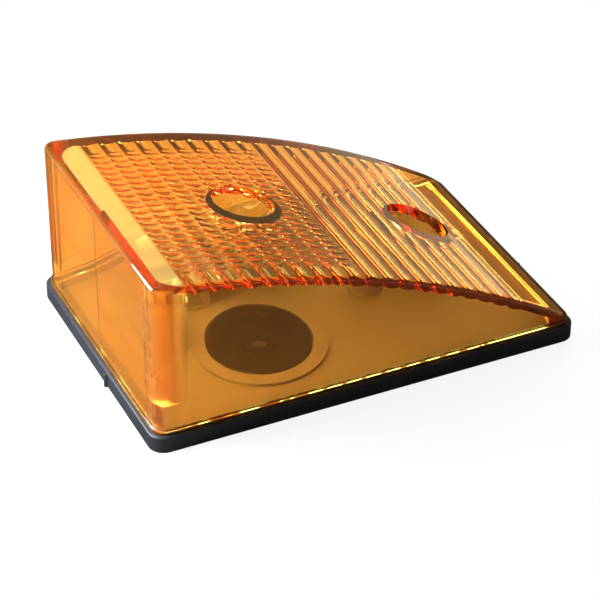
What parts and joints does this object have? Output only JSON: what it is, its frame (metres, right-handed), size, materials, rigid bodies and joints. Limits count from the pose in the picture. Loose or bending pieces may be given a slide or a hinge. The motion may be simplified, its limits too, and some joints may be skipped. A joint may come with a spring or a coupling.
{
  "type": "vehicle indicator lamp",
  "caption": "Wedge-shaped amber direction indicator lamp: ribbed clear lens with screw pockets on a black rubber rim and flat base, bulb inside.",
  "frame": {"origin": "centre of the flat mounting face under the rubber rim", "axes": "+X from the tall end to the low end, +Y from the front to the back, +Z away from the mounting face"},
  "size_m": [0.144, 0.0948, 0.0563],
  "materials": {
    "amber_lens": "polished clear amber",
    "black_rubber": "satin moulded",
    "grey_plastic": "fine matt",
    "plated_steel": "zinc plated",
    "brass": "bright",
    "brown_insulator": "pressed board",
    "black_glass": "fired",
    "solder": "dull",
    "clear_glass": "clear",
    "tungsten": "drawn wire"
  },
  "bodies": {
    "root": {"lens": "amber_lens", "lens_screws": "plated_steel", "screw_seals": "black_rubber", "rim_gasket": "black_rubber", "base_plate": "grey_plastic", "mounting_inserts": "brass", "lens_insert": "brass", "cable_grommet": "black_rubber", "bulb_bracket": "plated_steel", "bracket_rivets": "plated_steel", "clinch_nut": "plated_steel", "holder_shell": "plated_steel", "holder_disc": "brown_insulator", "rear_bush": "brown_insulator", "contact_spring": "plated_steel", "contact_pin": "brass", "bulb_cap": "brass", "bulb_seal": "black_glass", "bulb_contact": "solder", "bulb_glass": "clear_glass", "bulb_filament": "tungsten"}
  },
  "joints": []
}
